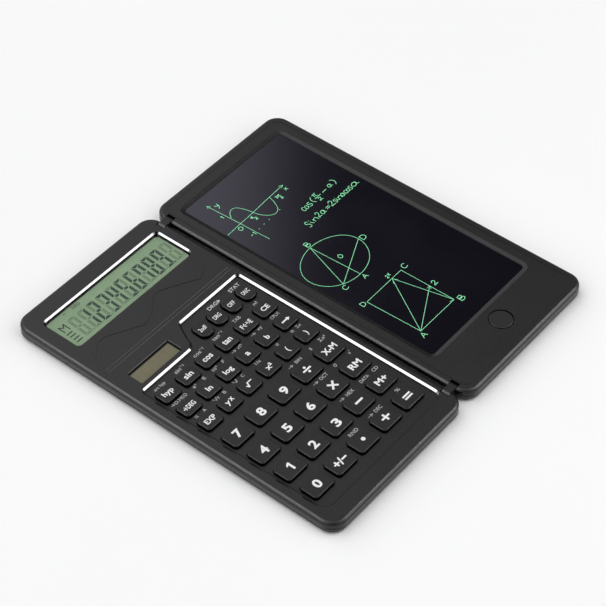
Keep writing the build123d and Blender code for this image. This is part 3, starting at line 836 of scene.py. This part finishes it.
# The display's black border: printed, but its inner outline is shifted so the band is wider on the
# top and right sides, painted shade at the foot of the window's far walls.
BORDER_IN = rounded_outline(LCD_X - 0.3, LCD_Y - 0.35, 69.1, 19.45, 1.8)
BORDER_OUT = rounded_outline(LCD_X, LCD_Y, 71.9, 22.35, 2.0)
border = flat_frame("display_border", BORDER_IN, BORDER_OUT, UNLIT_Z, 0.022)
add_piece("display_border", border, BLACK_BORDER_AND_SHADE, "calculator")
for name, bars, z, thick, finish in (
    ("display_bars_on", on_bars, LIT_Z, LIT_THICK, SEGMENT),
    ("display_bars_off", off_bars, UNLIT_Z, UNLIT_THICK, GHOST),
):
    add_piece(name, flat_mesh(name, bars, z, thick), finish, "calculator")
MEMORY_SIGN = [
    stroke(-1.45, -2.1, -1.45, 2.1, 0.6), stroke(1.45, -2.1, 1.45, 2.1, 0.6),
    stroke(-1.25, 1.9, 0.0, 0.1, 0.55), stroke(0.0, 0.1, 1.25, 1.9, 0.55),
]
MEMORY_X, MEMORY_Y = -72.9, 67.6
memory_bars = [[(x + MEMORY_X, y + MEMORY_Y) for x, y in bar] for bar in MEMORY_SIGN]
signs = join_meshes([
    flat_mesh("memory_sign", memory_bars, LIT_Z, LIT_THICK),
    lettering("DEG", (-60.4, 73.0), 4.2, 1.7, 0.02, SIGN_Z),
    lettering("−", (-67.0, 73.2), 1.4, 0.35, 0.0, SIGN_Z),
], "display_signs")
add_piece("display_signs", signs, SEGMENT, "calculator")


# ---------------------------------------------------------------- solar cell lines

CELL_LINE_HALF, CELL_LINE_CLEAR = 0.12, 0.2
low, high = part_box("solar_cell")
lines = []
for share in (0.25, 0.5, 0.75):
    x = (low.x + (high.x - low.x) * share) / MM
    left, right = x - CELL_LINE_HALF, x + CELL_LINE_HALF
    foot, top = low.y / MM + CELL_LINE_CLEAR, high.y / MM - CELL_LINE_CLEAR
    lines.append([(left, foot), (right, foot), (right, top), (left, top)])
CELL_X, CELL_Y = middle_of("solar_cell")
# A black band round the cell, almost nil on the left and bottom and wide on the top and right:
# painted shade at the foot of the opening's far walls.
border = flat_frame(
    "solar_border_painted_shade",
    rounded_outline(CELL_X - 0.38, CELL_Y - 0.42, 23.2, 6.8, 0.2),
    rounded_outline(CELL_X, CELL_Y, 24.1, 7.7, 0.1),
    SOLAR_Z + 0.001,
    0.016,
)
add_piece("solar_border_painted_shade", border, BLACK_BORDER_AND_SHADE, "calculator")
cell_lines = flat_mesh("solar_cell_lines", lines, SOLAR_Z + 0.002, 0.012)
add_piece("solar_cell_lines", cell_lines, CELL_LINE, "calculator")


# ---------------------------------------------------------------- writing on the film

FILM_X, FILM_Y, FILM_WIDE, FILM_TALL = 42.8, 7.4, 65.6, 135.2
# A black band round the film, thin on the left and bottom and wide on the top and right: painted
# shade at the foot of the screen's far walls.
edge = flat_frame(
    "film_edge_painted_shade",
    rounded_outline(FILM_X - 0.18, FILM_Y - 0.18, FILM_WIDE - 0.45, FILM_TALL - 0.45, 1.8),
    rounded_outline(FILM_X, FILM_Y, FILM_WIDE, FILM_TALL, 2.0),
    FILM_Z + 0.001,
    0.014,
)
add_piece("film_edge_painted_shade", edge, BLACK_BORDER_AND_SHADE, "tablet")

# Half widths of a drawn line and a lettered line, and how flat both lie.
LINE_R = 0.115
LETTER_R = 0.15
RIBBON_FLATNESS = 0.12


def written(name, runs, radius=LINE_R, smooth=True):
    """Hand-drawn lines: rounded ribbons that lie on the film."""
    curve = bpy.data.curves.new(name, "CURVE")
    curve.dimensions = "3D"
    curve.bevel_depth = radius * MM
    curve.bevel_resolution = 1
    curve.resolution_u = 5
    curve.use_fill_caps = True
    for points, closed in runs:
        if smooth:
            spline = curve.splines.new("BEZIER")
            spline.bezier_points.add(len(points) - 1)
            for bez, (x, y) in zip(spline.bezier_points, points):
                bez.co = (x * MM, y * MM, 0)
                bez.handle_left_type = bez.handle_right_type = "AUTO"
        else:
            spline = curve.splines.new("POLY")
            spline.points.add(len(points) - 1)
            for p, (x, y) in zip(spline.points, points):
                p.co = (x * MM, y * MM, 0, 1)
        spline.use_cyclic_u = closed
    mesh = mesh_from_curve(curve)
    for v in mesh.vertices:
        v.co.z = v.co.z * RIBBON_FLATNESS + FILM_Z * MM + radius * 0.1 * MM
    return mesh


def arrow(tip, angle, size=1.5):
    """The two barbs of an arrow head; angle is the way it points, in degrees."""
    ends = []
    for turn in (150, -150):
        a = math.radians(angle + turn)
        ends.append((tip[0] + size * math.cos(a), tip[1] + size * math.sin(a)))
    return [ends[0], tip, ends[1]]


# Hand-lettered shapes on a unit square, each a list of strokes.
HAND = {
    "c": [[(0.75, 0.62), (0.35, 0.7), (0.1, 0.35), (0.35, 0.02), (0.78, 0.12)]],
    "o": [[(0.45, 0.68), (0.1, 0.4), (0.4, 0.0), (0.8, 0.3), (0.45, 0.68)]],
    "s": [[(0.75, 0.65), (0.3, 0.66), (0.25, 0.4), (0.72, 0.28), (0.6, 0.0), (0.12, 0.05)]],
    "i": [[(0.4, 0.62), (0.42, 0.3), (0.5, 0.0)], [(0.4, 0.88), (0.42, 0.92)]],
    "n": [[(0.15, 0.65), (0.2, 0.0)], [(0.2, 0.45), (0.5, 0.68), (0.7, 0.45), (0.75, 0.0)]],
    "a": [[(0.7, 0.6), (0.35, 0.66), (0.1, 0.3), (0.35, 0.0), (0.68, 0.25), (0.7, 0.6),
           (0.74, 0.15), (0.95, 0.02)]],
    "2": [[(0.12, 0.75), (0.4, 1.0), (0.72, 0.75), (0.45, 0.35), (0.1, 0.02), (0.45, 0.06),
           (0.85, 0.0)]],
    "=": [[(0.1, 0.5), (0.8, 0.55)], [(0.1, 0.2), (0.8, 0.25)]],
    "-": [[(0.1, 0.3), (0.8, 0.38)]],
    "(": [[(0.65, 1.1), (0.3, 0.75), (0.25, 0.2), (0.55, -0.2)]],
    ")": [[(0.3, 1.1), (0.65, 0.75), (0.7, 0.2), (0.35, -0.2)]],
    "S": [[(0.85, 0.85), (0.45, 1.02), (0.2, 0.72), (0.7, 0.4), (0.6, 0.02), (0.1, 0.08)]],
    "p": [[(0.05, 0.62), (0.9, 0.7)], [(0.3, 0.64), (0.22, 0.0)],
          [(0.65, 0.67), (0.62, 0.15), (0.85, 0.0)]],
    "x": [[(0.1, 0.7), (0.4, 0.4), (0.8, 0.0)], [(0.78, 0.72), (0.4, 0.35), (0.05, 0.02)]],
    "y": [[(0.1, 0.7), (0.2, 0.4), (0.5, 0.32), (0.75, 0.5)],
          [(0.78, 0.75), (0.6, 0.1), (0.15, -0.2)]],
    "0": [[(0.45, 0.95), (0.15, 0.6), (0.25, 0.05), (0.65, 0.1), (0.8, 0.6), (0.45, 0.95)]],
    "1": [[(0.3, 0.8), (0.5, 0.98), (0.48, 0.5), (0.5, 0.0)]],
    "3": [[(0.1, 0.9), (0.7, 0.85), (0.4, 0.55), (0.8, 0.25), (0.1, 0.05)]],
    "A": [[(0.05, 0.0), (0.3, 0.55), (0.48, 1.0)], [(0.48, 1.0), (0.66, 0.5), (0.85, 0.0)],
          [(0.2, 0.35), (0.75, 0.38)]],
    "B": [[(0.15, 1.0), (0.15, 0.5), (0.15, 0.0)],
          [(0.15, 1.0), (0.65, 0.9), (0.6, 0.6), (0.18, 0.52), (0.75, 0.4), (0.7, 0.08),
           (0.15, 0.0)]],
    "C": [[(0.85, 0.85), (0.45, 1.0), (0.12, 0.5), (0.4, 0.0), (0.88, 0.15)]],
    "D": [[(0.15, 1.0), (0.15, 0.5), (0.15, 0.0)],
          [(0.15, 1.0), (0.75, 0.8), (0.8, 0.25), (0.15, 0.0)]],
    "O": [[(0.5, 1.0), (0.12, 0.55), (0.4, 0.02), (0.88, 0.4), (0.5, 1.0)]],
}


def placed(letter, left, right, low, high):
    """Strokes of one letter, stretched to fill a box on the film."""
    points = [p for line in HAND[letter] for p in line]
    x0, x1 = min(p[0] for p in points), max(p[0] for p in points)
    y0, y1 = min(p[1] for p in points), max(p[1] for p in points)
    wide, tall = max(x1 - x0, 0.05), max(y1 - y0, 0.05)

    def on_film(px, py):
        return (
            left + (px - x0) / wide * (right - left),
            low + (py - y0) / tall * (high - low),
        )

    return [([on_film(px, py) for px, py in line], False) for line in HAND[letter]]


def placed_row(rows):
    """Strokes of several letters, each row a letter and its box."""
    return [run for row in rows for run in placed(*row)]


axes = [
    ([(18.6, 68.6), (18.7, 67.1), (19.3, 55.4), (19.6, 50.4), (19.8, 42.7), (20.3, 34.6)], False),
    ([(10.7, 50.0), (19.6, 50.4), (28.2, 50.7), (40.1, 51.4), (49.9, 51.8)], False),
    ([(17.8, 67.4), (18.6, 69.0), (19.5, 67.4)], False),
    ([(48.2, 52.6), (50.1, 51.8), (48.2, 51.0)], False),
]
wave = [
    ([(19.6, 55.6), (20.9, 57.4), (22.3, 58.7), (23.7, 59.2), (25.1, 58.9), (26.3, 57.7),
      (27.3, 55.6), (28.0, 53.2), (28.4, 50.7), (29.1, 47.9), (30.4, 45.4), (32.1, 43.6),
      (34.0, 42.7), (35.9, 43.1), (37.4, 44.3), (38.7, 46.6), (39.7, 49.1), (40.2, 51.3)], False),
]
for x, y in ((22.2, 42.0), (25.8, 42.3), (29.4, 42.5), (37.0, 42.8)):
    wave.append(([(x - 0.25, y - 0.02), (x + 0.3, y + 0.02)], False))
graph_signs = placed_row([
    ("y", 20.8, 22.4, 63.7, 66.8), ("1", 17.1, 17.6, 58.1, 59.8), ("0", 16.3, 18.3, 47.4, 49.4),
    ("p", 24.9, 26.3, 48.2, 49.5), ("2", 26.0, 27.2, 46.6, 48.0), ("3", 41.7, 42.7, 48.2, 49.5),
    ("p", 42.9, 44.4, 48.2, 49.4), ("2", 43.2, 44.3, 46.5, 47.7), ("x", 48.2, 49.8, 48.4, 49.9),
    ("-", 16.8, 17.8, 41.8, 41.9), ("1", 18.5, 19.0, 40.9, 42.7),
])

sums = placed_row([
    ("c", 43.2, 44.8, 33.7, 35.9), ("o", 44.9, 46.6, 33.7, 35.8), ("s", 47.0, 48.8, 33.6, 36.0),
    ("(", 50.3, 51.4, 33.5, 37.4), ("p", 52.6, 54.8, 35.8, 37.7), ("2", 52.9, 54.7, 32.6, 34.5),
    ("-", 57.3, 60.1, 35.2, 35.3), ("a", 61.8, 64.0, 34.6, 36.5), (")", 65.2, 66.4, 33.9, 37.8),
    ("-", 52.0, 56.0, 35.1, 35.2),
    ("S", 36.8, 38.6, 25.5, 29.2), ("i", 39.4, 40.3, 25.9, 28.6), ("n", 41.2, 43.4, 25.9, 27.9),
    ("2", 44.3, 46.2, 26.3, 29.5), ("a", 46.8, 49.3, 26.2, 28.3), ("=", 50.4, 52.8, 27.0, 28.0),
    ("2", 53.4, 55.6, 26.3, 29.6), ("s", 56.0, 57.4, 26.4, 28.4), ("i", 57.8, 58.6, 26.4, 29.0),
    ("n", 59.0, 60.8, 26.4, 28.3), ("a", 61.1, 63.2, 26.5, 28.4), ("c", 63.5, 64.9, 26.5, 28.5),
    ("o", 65.0, 66.5, 26.6, 28.5), ("s", 66.7, 68.1, 26.5, 28.6), ("a", 68.8, 72.7, 26.6, 28.7),
])

ROUND_C, ROUND_RX, ROUND_RY = (27.7, 4.5), 16.7, 13.3
circle = [(
    [(ROUND_C[0] + ROUND_RX * (1 + 0.012 * math.sin(3 * a)) * math.cos(a),
      ROUND_C[1] + ROUND_RY * (1 + 0.012 * math.cos(2 * a + 0.6)) * math.sin(a))
     for a in [math.radians(15 * k) for k in range(24)]], True)]
CORNERS = {"B": (27.0, 17.6), "D": (44.2, 4.9), "A": (28.3, -8.8), "C": (18.9, -6.9)}
chords = [
    ([CORNERS["B"], CORNERS["C"]], False),
    ([CORNERS["B"], CORNERS["A"]], False),
    ([CORNERS["C"], CORNERS["D"]], False),
]
labels = placed_row([
    ("B", 26.6, 28.7, 18.5, 21.2), ("C", 16.8, 19.2, -9.9, -7.5), ("A", 27.3, 29.6, -12.1, -9.7),
    ("D", 45.4, 47.6, 2.7, 5.6), ("O", 30.2, 32.2, 3.4, 5.8),
    ("D", 14.0, 15.9, -21.7, -19.2), ("C", 42.6, 45.0, -21.4, -18.8),
    ("B", 42.7, 45.1, -51.4, -48.5), ("A", 15.7, 18.2, -51.7, -49.1),
    ("2", 33.6, 34.5, -19.3, -17.6), ("x", 35.0, 36.0, -18.9, -17.4),
    ("2", 42.9, 45.0, -37.2, -34.6),
])
SQUARE = {"D": (17.0, -20.9), "C": (40.9, -20.6), "B": (41.1, -48.3), "A": (17.9, -48.3)}
square = [([SQUARE[a], SQUARE[b]], False) for a, b in ("DC", "CB", "BA", "AD")]
square += [
    ([SQUARE["A"], (34.4, -20.9)], False),
    ([SQUARE["B"], (34.6, -21.0)], False),
    ([SQUARE["A"], (41.1, -35.6)], False),
    ([(32.5, -23.4), (34.4, -20.9), (35.6, -23.1)], False),
    (arrow((41.1, -35.6), 28, 1.8), False),
    (arrow(SQUARE["B"], -45, 2.2), False),
]

for name, runs, radius, smooth in (
    ("written_axes", axes, LINE_R, False),
    ("written_wave", wave, LINE_R, True),
    ("written_graph_signs", graph_signs, LETTER_R, True),
    ("written_sums", sums, LETTER_R, True),
    ("written_circle", circle, LINE_R, True),
    ("written_chords", chords, LINE_R, False),
    ("written_square", square, LINE_R, False),
    ("written_labels", labels, LETTER_R, True),
):
    add_piece(name, written(name, runs, radius, smooth), STROKE, "tablet")


# ---------------------------------------------------------------- screws underneath

SCREW_R, SCREW_LOW, SCREW_HIGH = 1.55, 0.75, 1.3
CROSS_ARM, CROSS_W, CROSS_DEEP = 0.85, 0.26, 0.32
BASE_SCREWS = [
    (-79.8, 79.8), (-79.8, 36.4), (-79.8, -79.8),
    (-8.5, 80.0), (-4.2, 33.8), (-8.5, -80.2),
]
TABLET_SCREWS = [(80.0, 80.0), (80.6, 8.0), (80.0, -80.0), (8.5, 80.0), (5.6, 8.0), (9.5, -79.0)]


def screw_head(shape, x, y, turn):
    """A round head with a cross recess, its face downward."""
    steps = 28

    def ring(radius, z):
        return [
            shape.verts.new(
                (
                    (x + radius * math.cos(2 * math.pi * k / steps)) * MM,
                    (y + radius * math.sin(2 * math.pi * k / steps)) * MM,
                    z * MM,
                )
            )
            for k in range(steps)
        ]

    def recess(grow, z):
        w, a = CROSS_W * grow, CROSS_ARM * grow
        outline = [
            (w, a), (w, w), (a, w), (a, -w), (w, -w), (w, -a),
            (-w, -a), (-w, -w), (-a, -w), (-a, w), (-w, w), (-w, a),
        ]
        return [
            shape.verts.new(
                (
                    (x + px * math.cos(turn) - py * math.sin(turn)) * MM,
                    (y + px * math.sin(turn) + py * math.cos(turn)) * MM,
                    z * MM,
                )
            )
            for px, py in outline
        ]

    def wall(a, b):
        for i in range(len(a)):
            j = (i + 1) % len(a)
            shape.faces.new((a[i], a[j], b[j], b[i]))

    back = ring(SCREW_R, SCREW_HIGH)
    side = ring(SCREW_R, SCREW_LOW + 0.22)
    soft = ring(SCREW_R * 0.93, SCREW_LOW + 0.08)
    face = ring(SCREW_R * 0.78, SCREW_LOW)
    wall(back, side)
    wall(side, soft)
    wall(soft, face)
    shape.faces.new(back)
    mouth = recess(1.0, SCREW_LOW)
    deep = recess(0.7, SCREW_LOW + CROSS_DEEP)
    wall(mouth, deep)
    shape.faces.new(deep)
    edges = []
    for loop in (face, mouth):
        for i in range(len(loop)):
            edges.append(shape.edges.get((loop[i], loop[(i + 1) % len(loop)])))
    bmesh.ops.triangle_fill(shape, use_beauty=True, use_dissolve=False, edges=edges)


for name, places, body in (
    ("base_screws", BASE_SCREWS, "calculator"),
    ("tablet_screws", TABLET_SCREWS, "tablet"),
):
    shape = bmesh.new()
    for index, (x, y) in enumerate(places):
        screw_head(shape, x, y, 0.4 + 1.1 * index)
    bmesh.ops.recalc_face_normals(shape, faces=shape.faces)
    mesh = bpy.data.meshes.new(name)
    shape.to_mesh(mesh)
    shape.free()
    add_piece(name, mesh, SCREW, body)


# ---------------------------------------------------------------- stage, light and camera


FLOOR_REACH = 4.0
TENT_WHITE = (1.2, 1.2, 1.2)
TENT_DARK = (0.03, 0.03, 0.035)
# Bearings in degrees of the two edges of the tent's dark opening behind the object.
GAP_LEFT, GAP_RIGHT = 40.5, -15.0
# The way from the object to the dark hole in the tent's front.
LENS_WAY = (-0.50, -0.50, 0.70)
# The way back from the object to the camera, how far that is, and what it aims at, in metres.
CAMERA_WAY = (-0.5363, -0.4354, 0.7232)
CAMERA_DISTANCE = 0.8504
CAMERA_AIM = (-0.00061, -0.00085, FACE_Z * MM)
# Each light in reflections only: its name, its way from the object, its side and its radiance.
SHINE_BOXES = (
    ("left_strip", (-0.723, 0.435, 0.536), 0.5, 5.0),
    ("right_strip", (0.536, -0.723, 0.435), 0.5, 5.0),
    ("left_edge_box", (-0.209, 0.435, 0.876), 0.4, 12.0),
    ("right_edge_box", (0.536, -0.274, 0.798), 0.4, 12.0),
)
SHINE_DISTANCE = 1.1


def build_floor():
    r = FLOOR_REACH
    mesh = bpy.data.meshes.new("floor")
    mesh.from_pydata([(-r, -r, 0), (r, -r, 0), (r, r, 0), (-r, r, 0)], [], [(0, 1, 2, 3)])
    floor = bpy.data.objects.new("floor", mesh)
    bpy.context.scene.collection.objects.link(floor)
    material, t = start_material("pale_floor")
    drift = t.use(DRIFT, Color=(0.965, 0.965, 0.965, 1), Other=(0.98, 0.98, 0.98, 1), Scale=3.0)
    t.feed(t.shader.inputs["Base Color"], drift["Color"])
    t.shader.inputs["Roughness"].default_value = 0.85
    mesh.materials.append(material)


def build_world():
    """A white tent, dark low down, with a dark opening behind and a dark hole in front."""
    world = bpy.data.worlds.new("studio")
    bpy.context.scene.world = world
    world.use_nodes = True
    t = Tree(world.node_tree)
    background = world.node_tree.nodes["Background"]
    way = t.add("ShaderNodeTexCoord").outputs["Generated"]
    parts = t.add("ShaderNodeSeparateXYZ", {"Vector": way}).outputs

    def side_of(bearing, softness):
        """0 on one side of an upright plane through the object, 1 on the other."""
        a = math.radians(bearing)
        across = t.math(
            "SUBTRACT",
            t.math("MULTIPLY", parts["Y"], math.cos(a)),
            t.math("MULTIPLY", parts["X"], math.sin(a)),
        )
        return t.remap(across, -softness, softness, 0.0, 1.0, smooth=True)

    left = side_of(GAP_LEFT, 0.03)
    right = t.math("SUBTRACT", 1.0, side_of(GAP_RIGHT, 0.06))
    front = t.remap(parts["X"], -0.05, 0.05, 1.0, 0.0, smooth=True)
    above = t.remap(parts["Z"], 0.96, 0.99, 0.0, 1.0, smooth=True)
    open_side = t.math("MAXIMUM", t.math("MAXIMUM", left, right), t.math("MAXIMUM", front, above))
    lift = t.remap(parts["Z"], 0.10, 0.22, 0.0, 1.0, smooth=True)
    facing = t.add(
        "ShaderNodeVectorMath",
        {0: way, 1: tuple(Vector(LENS_WAY).normalized())},
        operation="DOT_PRODUCT",
    ).outputs["Value"]
    around_lens = t.remap(facing, 0.87, 0.93, 1.0, 0.0, smooth=True)
    share = t.math("MULTIPLY", t.math("MULTIPLY", open_side, lift), around_lens)
    t.feed(background.inputs["Color"], t.mix(share, (*TENT_DARK, 1), (*TENT_WHITE, 1)))
    background.inputs["Strength"].default_value = 1.0


def softbox(name, direction, distance, side, radiance):
    data = bpy.data.lights.new(name, "AREA")
    data.shape = "RECTANGLE"
    data.size = side
    data.size_y = side
    data.energy = radiance * math.pi * side * side
    light = bpy.data.objects.new(name, data)
    bpy.context.scene.collection.objects.link(light)
    way = Vector(direction).normalized()
    light.location = way * distance
    light.rotation_mode = "QUATERNION"
    light.rotation_quaternion = way.to_track_quat("Z", "Y")
    return light


def build_camera():
    data = bpy.data.cameras.new("camera")
    data.sensor_width = 36.0
    data.lens = 121.2
    data.clip_start = 0.05
    data.clip_end = 20.0
    camera = bpy.data.objects.new("camera", data)
    bpy.context.scene.collection.objects.link(camera)
    back = Vector(CAMERA_WAY).normalized()
    camera.location = Vector(CAMERA_AIM) + back * CAMERA_DISTANCE
    camera.rotation_mode = "QUATERNION"
    camera.rotation_quaternion = (-back).to_track_quat("-Z", "Y")
    bpy.context.scene.camera = camera


bpy.context.scene.view_settings.view_transform = "Standard"
build_floor()
build_world()
for name, way, side, radiance in SHINE_BOXES:
    softbox(name, way, SHINE_DISTANCE, side, radiance).visible_diffuse = False
softbox("overhead_sheet", (0.0, 0.0, 1.0), 1.5, 1.6, 0.42).visible_glossy = False
build_camera()
